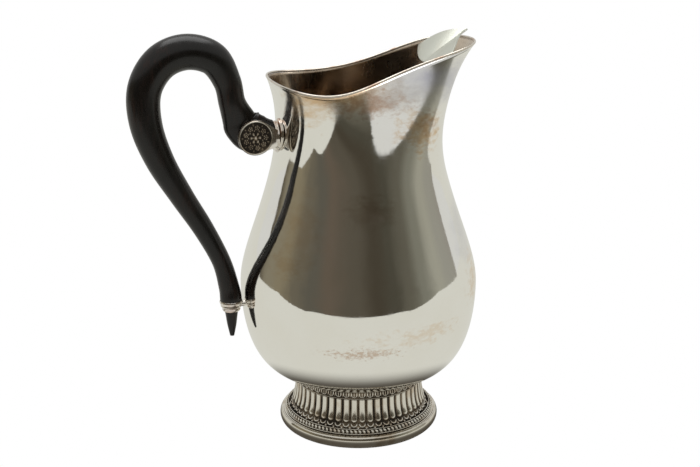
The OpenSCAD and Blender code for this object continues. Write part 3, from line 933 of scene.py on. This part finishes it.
def rosetteRelief(radius, angle, full):
    share = radius / full
    rimAt, rimWidth = rosetteForm["rim"]
    petalAt, petalWidth = rosetteForm["petalAt"]
    ringAt, ringWidth = rosetteForm["floretRing"]
    rimRidge = bump(share - rimAt, rimWidth)
    petals = 0.45 + 0.55 * math.cos(rosetteForm["petals"] * angle)
    flower = bump(share, rosetteForm["bud"]) + 0.85 * bump(share - petalAt, petalWidth) * petals
    sector = fullTurn / rosetteForm["florets"]
    local = (angle + sector / 2) % sector - sector / 2
    fx, fy = radius * math.cos(local) - rosetteForm["floretAt"] * full, radius * math.sin(local)
    floretReach = math.hypot(fx, fy)
    lobes = 0.5 + 0.5 * math.cos(5 * math.atan2(fy, fx))
    floret = (0.9 * bump(floretReach, rosetteForm["floretBud"])
              + 0.8 * bump(floretReach - ringAt, ringWidth) * (0.35 + 0.65 * lobes))
    offset = (angle % sector) - sector / 2
    across, aside = radius * math.cos(offset), radius * math.sin(offset)
    veins = 0.6 + 0.4 * math.cos(aside * rosetteForm["leafVeins"])
    leafReach = math.hypot(across - rosetteForm["leafAt"] * full, aside * 1.5)
    leaf = 0.8 * bump(leafReach, rosetteForm["leaf"]) * veins
    seedReach = math.hypot(across - rosetteForm["seedAt"] * full, aside)
    seed = 0.8 * bump(seedReach, rosetteForm["seed"])
    return min(1, max(rimRidge, flower, floret, leaf, seed))


def rosettePlace(row, u):
    # rows 0 to 1 cross the face, and 2 to 3 the back
    full = (rosetteHigh.x - rosetteLow.x) / 2
    cx, cz = (rosetteHigh.x + rosetteLow.x) / 2, (rosetteHigh.z + rosetteLow.z) / 2
    if row > 1.5:
        radius = full * (3 - row)
        return Vector((cx + radius * math.cos(u), rosetteHigh.y, cz + radius * math.sin(u))), 1.0
    radius = full * row
    relief = rosetteRelief(radius, u, full)
    edge = 1 if row < rosetteForm["edgeFrom"] else 0.2
    dishFrom, dishDepth = rosetteForm["dish"]
    deeper = dishDepth if row < dishFrom else 0
    face = rosetteLow.y + rosetteForm["relief"] * (1 - relief * edge) + deeper
    point = Vector((cx + radius * math.cos(u), face, cz + radius * math.sin(u)))
    return point, max(0, 1 - relief * rosetteForm["clean"])


def makeRosette(name, node, mirrored):
    bm = wrappedSheet(rowsPerSpan([(0, 0.02, 1), (0.02, 1, 52)]) + [2.0, 3.0], rosetteForm["turns"],
                      rosettePlace, "recess")
    if mirrored:
        bmesh.ops.scale(bm, vec=(1, -1, 1), verts=bm.verts)
        bmesh.ops.reverse_faces(bm, faces=bm.faces)
    makePiece(name, bm, rosetteSilver, [node])


makeRosette("rosetteLeft", "rosette_left", False)
makeRosette("rosetteRight", "rosette_right", True)
softenedPieces = (
    ("forkedSocket", "handle_socket", 0.28 * mm, 3, "silver"),
    ("neckPlate", "upper_escutcheon", 0.2 * mm, 2, "silver_ornament"),
    ("tipFerrule", "lower_ferrule", 0.12 * mm, 3, "silver"))
for name, node, width, segments, slotName in softenedPieces:
    makePiece(name, softenedCopy(node, width, segments), fittingSilver, [node])
for hidden in ("socket_pin", "lower_peg"):
    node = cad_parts[hidden]
    node.data.materials.clear()
    node.data.materials.append(fittingSilver)
print("fittings ready")


# the wooden grip

ferruleLow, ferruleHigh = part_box("lower_ferrule")
gripLow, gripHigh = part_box("handle_grip")
gripForm = {
    "wallX": 45.56 * mm,       # the body's wall at the socket
    "socketZ": 175.2 * mm,
    "reach": 82.6 * mm,
    "rise": 58.3 * mm,
    "armReach": 0.88,          # the arm starts down from here
    "armRise": 11 * mm,
    "probe": 0.01,
    "half": 9.65 * mm,         # half the thickness at the thickest
    "tongueHalf": 6 * mm,
    "sides": 56,
    "ringsPerSpan": 12,
    "ferruleHalf": 6.05 * mm,
}
ferruleX = -(ferruleLow.x + ferruleHigh.x) / 2


def loopAt(out, up, thick, wide):
    return Vector((-(gripForm["wallX"] + out * gripForm["reach"]),
                   gripForm["socketZ"] + up * gripForm["rise"],
                   thick * gripForm["half"], wide * gripForm["half"]))


def armAt(down, sway, thick, wide):
    top = gripForm["socketZ"] + gripForm["armRise"]
    start = gripForm["wallX"] + gripForm["armReach"] * gripForm["reach"]
    return Vector((-(mix(start, ferruleX, down) + sway * mm), mix(top, ferruleHigh.z, down),
                   thick * gripForm["half"], wide * gripForm["half"]))


def tongueAt(back, up, thick, wide):
    return Vector((gripHigh.x - back * mm, gripForm["socketZ"] + up * mm,
                   thick * mm, wide * gripForm["tongueHalf"]))


def tipAt(z, share):
    return Vector((-ferruleX, z, share * gripForm["ferruleHalf"], share * gripForm["ferruleHalf"]))


# points of the centre line: across, up, half thickness in the loop's plane and half width
gripLine = [
    tongueAt(0, 1.8, 7, 0.93), tongueAt(5.3, 1.8, 9.4, 0.97), tongueAt(12, 3, 11.4, 1),
    tongueAt(17, 6.7, 10.2, 1),
    loopAt(0.27, 0.185, 0.95, 0.64), loopAt(0.31, 0.34, 0.77, 0.76), loopAt(0.34, 0.545, 0.79, 0.79),
    loopAt(0.43, 0.76, 0.94, 0.90), loopAt(0.60, 0.835, 1.00, 0.94), loopAt(0.77, 0.75, 1.00, 0.95),
    loopAt(0.88, 0.51, 0.96, 0.93), armAt(0, 0.2, 0.91, 0.89), armAt(0.194, 2.1, 0.81, 0.81),
    armAt(0.395, -0.3, 0.685, 0.69), armAt(0.587, -3.6, 0.60, 0.62), armAt(0.774, -4.8, 0.55, 0.58),
    armAt(0.923, -2.3, 0.60, 0.60), tipAt(ferruleHigh.z, 1), tipAt(ferruleLow.z, 0.645),
    tipAt(mix(gripLow.z, ferruleLow.z, 0.44), 0.43), tipAt(gripLow.z, 0.2)]


def smoothLine(t):
    last = len(gripLine) - 1
    i = min(int(t), last - 1)
    f = t - i
    a, b, c, d = (gripLine[max(0, min(last, j))] for j in (i - 1, i, i + 1, i + 2))
    return (b + (c - a) / 2 * f + (a - 2.5 * b + 2 * c - d / 2) * f ** 2
            + (1.5 * (b - c) + (d - a) / 2) * f ** 3)


def gripPlace(row, u):
    last = len(gripLine) - 1
    t = min(max(row, 0), last)
    point = smoothLine(t)
    probe = gripForm["probe"]
    step = smoothLine(min(t + probe, last)) - smoothLine(max(t - probe, 0))
    heading = Vector((step.x, 0, step.y)).normalized()
    side = Vector((0, 1, 0)).cross(heading)
    share = 0 if row < 0 or row > last else 1
    around = point.z * math.cos(u) * side + Vector((0, point.w * math.sin(u), 0))
    return Vector((point.x, 0, point.y)) + share * around, 0.0


gripSpans = len(gripLine) - 1
gripRows = [-1] + rowsPerSpan([(0, gripSpans, gripSpans * gripForm["ringsPerSpan"])]) + [gripSpans + 1]
makePiece("woodenGrip", wrappedSheet(gripRows, gripForm["sides"], gripPlace, "recess"),
          ebony, ["handle_grip"])
print("grip ready")


# camera, stage and light

viewForm = {
    "position": Vector((-0.21861, -0.71503, 0.34169)),
    "heading": math.radians(-16.65),
    "down": math.radians(16.92),
    "roll": math.radians(-0.30),
    "lens": 70,
    "sensor": 36,
    "clipEnd": 20,
}


def makeCamera():
    down, heading = viewForm["down"], viewForm["heading"]
    forward = Vector((-math.sin(heading) * math.cos(down), math.cos(heading) * math.cos(down),
                      -math.sin(down)))
    level = forward.cross(Vector((0, 0, 1))).normalized()
    upright = level.cross(forward)
    roll = viewForm["roll"]
    right = math.cos(roll) * level + math.sin(roll) * upright
    top = -math.sin(roll) * level + math.cos(roll) * upright
    data = bpy.data.cameras.new("camera")
    data.lens = viewForm["lens"]
    data.sensor_width = viewForm["sensor"]
    data.clip_end = viewForm["clipEnd"]
    camera = bpy.data.objects.new("camera", data)
    turned = Matrix((right, top, -forward)).transposed().to_4x4()
    camera.matrix_world = Matrix.Translation(viewForm["position"]) @ turned
    bpy.context.scene.collection.objects.link(camera)
    bpy.context.scene.camera = camera


stageForm = {
    "towards": math.atan2(viewForm["position"].y, viewForm["position"].x),
    "paperFront": 0.29,        # how far the white paper comes forward
    "paperHalf": 3,
    "paperSink": 0.0004,       # just under the foot, so that the two don't share a plane
    "groundHalf": 1.2,         # low ground in front of the paper
    "groundBack": 0.2,
    "groundSink": 0.3,
    "roomReach": 1.7,
    "roomBottom": -22,
    "roomTop": 25.5,           # degrees up to the pale ceiling, straight behind the camera
    "roomTopFall": 9,          # and how much lower it is at the sides
    "roomRows": 24,
    "roomColumns": 48,
    "roomHalf": math.radians(109),
    "paper": (0.67, 0.665, 0.61),
    "shade": (0.10, 0.09, 0.075),
    "shadeFrom": 0.048,        # the pitcher's own shade on the paper, from here
    "shadeTo": 0.092,          # out to here
    "roomWander": 0.06,        # how far the bands' edges stray, in turns
    # the dim room behind the camera, by direction in degrees from it: right is positive
    "roomBands": [
        (-112, (0.064, 0.052, 0.036)), (-96, (0.224, 0.2, 0.144)), (-78, (0.224, 0.192, 0.128)),
        (-60, (0.136, 0.12, 0.088)), (-45, (0.104, 0.096, 0.076)), (-28, (0.12, 0.096, 0.072)),
        (-5, (0.092, 0.08, 0.06)), (18, (0.06, 0.0504, 0.036)), (36, (0.068, 0.0624, 0.0464)),
        (50, (0.112, 0.104, 0.08)), (66, (0.192, 0.188, 0.152)), (84, (0.336, 0.328, 0.272)),
        (98, (0.304, 0.296, 0.256)), (112, (0.288, 0.272, 0.24))],
}


def paperColour(tree):
    place = addNode(tree, "ShaderNodeTexCoord").outputs["Object"]
    away = vectorNode(tree, "LENGTH", vectorNode(tree, "MULTIPLY", place, (1, 1, 0)))
    lit = spread(tree, away, stageForm["shadeFrom"], stageForm["shadeTo"])
    return mixColour(tree, lit, stageForm["shade"], stageForm["paper"])


def roomColour(tree):
    position = addNode(tree, "ShaderNodeTexCoord").outputs["Object"]
    turned = addNode(tree, "ShaderNodeVectorRotate", rotation_type="Z_AXIS")
    turned.inputs["Angle"].default_value = -stageForm["towards"]
    tree.links.new(position, turned.inputs["Vector"])
    parts = addNode(tree, "ShaderNodeSeparateXYZ")
    tree.links.new(turned.outputs[0], parts.inputs[0])
    azimuth = mathNode(tree, "ARCTAN2", parts.outputs["Y"], parts.outputs["X"])
    uneven = mathNode(tree, "SUBTRACT", noiseNode(tree, position, 1.4, 3), 0.5)
    wander = mathNode(tree, "MULTIPLY", uneven, stageForm["roomWander"])
    share = mathNode(tree, "ADD", mathNode(tree, "DIVIDE", azimuth, fullTurn), 0.5)
    ramp = addNode(tree, "ShaderNodeValToRGB")
    tree.links.new(mathNode(tree, "ADD", share, wander), ramp.inputs["Fac"])
    elements = ramp.color_ramp.elements
    ramp.color_ramp.interpolation = "EASE"
    while len(elements) < len(stageForm["roomBands"]):
        elements.new(0.5)
    for element, (degrees, tone) in zip(elements, stageForm["roomBands"]):
        element.position = degrees / 360 + 0.5
        element.color = (*tone, 1)
    return ramp.outputs["Color"]


def stageMaterial(name, reflected):
    # plain white to the camera, and reflected(tree) in the silver
    material = bpy.data.materials.new(name)
    material.use_nodes = True
    tree = material.node_tree
    tree.nodes.clear()
    out = addNode(tree, "ShaderNodeOutputMaterial")
    glow = addNode(tree, "ShaderNodeEmission")
    path = addNode(tree, "ShaderNodeLightPath").outputs["Is Camera Ray"]
    tree.links.new(mixColour(tree, path, reflected(tree), (1, 1, 1)), glow.inputs["Color"])
    tree.links.new(glow.outputs[0], out.inputs["Surface"])
    return material


def makeStage():
    white = stageMaterial("paper", paperColour)
    room = stageMaterial("room", roomColour)
    floor = bmesh.new()
    bmesh.ops.create_grid(floor, x_segments=1, y_segments=1, size=stageForm["paperHalf"])
    paperPlace = (stageForm["paperFront"] - stageForm["paperHalf"], 0, -stageForm["paperSink"])
    bmesh.ops.translate(floor, vec=paperPlace, verts=floor.verts)
    wall = bmesh.new()
    bmesh.ops.create_grid(wall, x_segments=stageForm["roomRows"], y_segments=stageForm["roomColumns"], size=1)
    for vert in wall.verts:
        angle = vert.co.y * stageForm["roomHalf"]
        top = stageForm["roomTop"] - stageForm["roomTopFall"] * vert.co.y ** 2
        climb = math.radians(mix(stageForm["roomBottom"], top, (vert.co.x + 1) / 2))
        vert.co = radial(stageForm["roomReach"] * math.cos(climb), angle,
                         stageForm["roomReach"] * math.sin(climb))
    ground = bmesh.new()
    bmesh.ops.create_grid(ground, x_segments=1, y_segments=1, size=stageForm["groundHalf"])
    groundPlace = (stageForm["paperFront"] - stageForm["groundBack"], 0, -stageForm["groundSink"])
    bmesh.ops.translate(ground, vec=groundPlace, verts=ground.verts)
    turn = Matrix.Rotation(stageForm["towards"], 4, "Z")          # local +X points at the camera
    for name, bm, material in (("floor", floor, white), ("roomWall", wall, room),
                               ("roomFloor", ground, white)):
        bmesh.ops.transform(bm, matrix=turn, verts=bm.verts)
        mesh = bpy.data.meshes.new(name)
        bm.to_mesh(mesh)
        bm.free()
        mesh.materials.append(material)
        piece = bpy.data.objects.new(name, mesh)
        bpy.context.scene.collection.objects.link(piece)
        piece.visible_camera = name == "floor"


lightForm = {
    "elevation": math.radians(80),
    "distance": 1.3,
    "width": 1.2,
    "height": 0.8,
    "power": 8,
    "surround": (0.66, 0.66, 0.64),
}


def makeSoftbox():
    # one softbox, high and a little behind
    data = bpy.data.lights.new("softboxTop", "AREA")
    data.shape = "RECTANGLE"
    data.size = lightForm["width"]
    data.size_y = lightForm["height"]
    data.energy = lightForm["power"]
    azimuth, elevation = stageForm["towards"] + math.pi, lightForm["elevation"]
    direction = Vector((math.cos(elevation) * math.cos(azimuth), math.cos(elevation) * math.sin(azimuth),
                        math.sin(elevation)))
    light = bpy.data.objects.new("softboxTop", data)
    turned = direction.to_track_quat("Z", "Y").to_matrix().to_4x4()
    light.matrix_world = Matrix.Translation(direction * lightForm["distance"]) @ turned
    bpy.context.scene.collection.objects.link(light)


def makeSurround():
    world = bpy.data.worlds.new("studio")
    bpy.context.scene.world = world
    world.use_nodes = True
    tree = world.node_tree
    path = addNode(tree, "ShaderNodeLightPath").outputs["Is Camera Ray"]
    tree.links.new(mixColour(tree, path, lightForm["surround"], (1, 1, 1)),
                   tree.nodes["Background"].inputs["Color"])
    bpy.context.scene.view_settings.view_transform = "Standard"


makeCamera()
makeStage()
makeSoftbox()
makeSurround()
print("stage ready")
